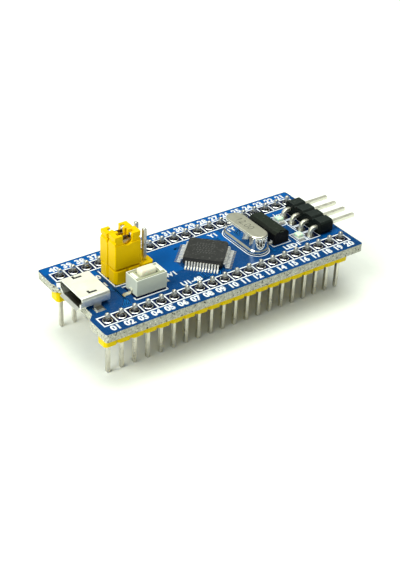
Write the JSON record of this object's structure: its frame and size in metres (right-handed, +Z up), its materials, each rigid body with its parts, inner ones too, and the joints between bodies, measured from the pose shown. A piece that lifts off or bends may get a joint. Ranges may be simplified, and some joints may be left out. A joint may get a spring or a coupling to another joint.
{
  "type": "microcontroller dev board",
  "caption": "Narrow blue microcontroller dev board on two rows of header pins, with USB socket, reset button, lift-off boot jumpers and a side debug header.",
  "frame": {"origin": "centre of the two rows of header pins, at the plane of the pin tips that the board stands on", "axes": "+X along the board from the USB socket to the debug header, +Y to the back row of pins, +Z up through the board to the component side"},
  "size_m": [0.0574, 0.0222, 0.0191],
  "materials": {
    "button_ivory": "satin",
    "can_nickel": "polished",
    "cap_yellow": "satin",
    "capacitor_tan": "satin",
    "clip_bronze": "satin",
    "contact_gold": "polished",
    "copper_plate": "satin",
    "header_black": "satin",
    "header_yellow": "satin",
    "lead_tin": "satin",
    "led_base_white": "matte",
    "led_resin": "glossy",
    "package_black": "matte",
    "pin_plating": "satin",
    "quartz": "polished",
    "resistor_black": "satin",
    "seal_glass": "polished",
    "shell_steel": "satin",
    "silicon": "polished",
    "solder": "satin",
    "solder_mask": "satin",
    "spring_steel": "satin",
    "switch_white": "satin",
    "terminal_brass": "satin",
    "tinned_copper": "satin",
    "tongue_plastic": "matte"
  },
  "bodies": {
    "board": {"back_header_pins": "pin_plating", "back_header_plastic": "header_yellow", "back_header_solder": "solder", "boot_header_pins": "pin_plating", "boot_header_plastic": "header_yellow", "boot_header_solder": "solder", "bottom_pads": "tinned_copper", "capacitor_bodies": "capacitor_tan", "capacitor_ends": "lead_tin", "clock_crystal_body": "package_black", "clock_crystal_terminals": "lead_tin", "clock_crystal_tube": "can_nickel", "crystal_base": "can_nickel", "crystal_blank": "quartz", "crystal_can": "can_nickel", "crystal_holders": "spring_steel", "crystal_leads": "lead_tin", "crystal_seals": "seal_glass", "crystal_solder": "solder", "debug_header_pins": "pin_plating", "debug_header_plastic": "header_black", "debug_header_solder": "solder", "front_header_pins": "pin_plating", "front_header_plastic": "header_yellow", "front_header_solder": "solder", "led_bases": "led_base_white", "led_lenses": "led_resin", "led_terminals": "lead_tin", "mcu_body": "package_black", "mcu_die": "silicon", "mcu_die_pad": "copper_plate", "mcu_leads": "lead_tin", "pcb": "solder_mask", "plated_holes": "tinned_copper", "regulator_body": "package_black", "regulator_leads": "lead_tin", "reset_base": "switch_white", "reset_cover": "switch_white", "reset_dome": "spring_steel", "reset_terminals": "terminal_brass", "resistor_bodies": "resistor_black", "resistor_ends": "lead_tin", "top_pads": "tinned_copper", "usb_contacts": "contact_gold", "usb_shell": "shell_steel", "usb_tongue": "tongue_plastic"},
    "reset_plunger": {"reset_button": "button_ivory"},
    "boot0_jumper": {"boot0_jumper_cap": "cap_yellow", "boot0_jumper_clip": "clip_bronze"},
    "boot1_jumper": {"boot1_jumper_cap": "cap_yellow", "boot1_jumper_clip": "clip_bronze"}
  },
  "joints": [
    {"name": "reset_press", "type": "slide", "parent": "board", "child": "reset_plunger", "axis": [0, 0, -1], "range_m": [0, 0.00025], "stiffness_N_per_m": 5000, "springref_m": -0.00005, "deforming": ["reset_dome"]},
    {"name": "boot0_pull", "type": "slide", "parent": "board", "child": "boot0_jumper", "axis": [0, 0, 1], "range_m": [0, 0.0062]},
    {"name": "boot1_pull", "type": "slide", "parent": "board", "child": "boot1_jumper", "axis": [0, 0, 1], "range_m": [0, 0.0058]}
  ]
}
